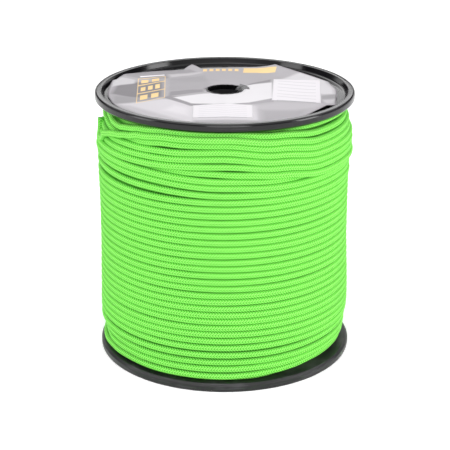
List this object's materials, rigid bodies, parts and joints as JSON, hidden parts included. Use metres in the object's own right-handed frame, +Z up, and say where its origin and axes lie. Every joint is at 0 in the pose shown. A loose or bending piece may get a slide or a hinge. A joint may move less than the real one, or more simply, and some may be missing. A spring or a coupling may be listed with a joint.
{
  "type": "cord spool",
  "caption": "Moulded two-flange reel with a hollow spindle bore, wound full of braided cord, with a round printed label and two stickers on its top flange.",
  "frame": {"origin": "centre of the bottom flange's rim face, which the reel stands on", "axes": "+Z up the spindle bore towards the labelled flange, +X to the right and +Y away from the viewer in the picture"},
  "size_m": [0.235, 0.235, 0.248],
  "materials": {
    "reel_plastic": "black injection-moulded plastic with a fine satin grain",
    "barrel_plastic": "dull black extruded plastic tube",
    "fastener_steel": "zinc-plated steel",
    "cord_braid": "bright green braided polypropylene with a slight sheen",
    "label_film": "white printed film, softly glossy and slightly wrinkled",
    "sticker_paper": "plain white coated paper"
  },
  "bodies": {
    "root": {"bottom_flange": "reel_plastic", "top_flange": "reel_plastic", "core_tube": "barrel_plastic", "arbor_tube": "barrel_plastic", "tie_bolts": "fastener_steel", "tie_nuts": "fastener_steel", "pocket_washers": "fastener_steel", "cord_inner_layers": "cord_braid", "cord_outer_layer": "cord_braid", "cord_start_knot": "cord_braid", "main_label": "label_film", "barcode_sticker": "sticker_paper", "info_sticker": "sticker_paper"}
  },
  "joints": []
}
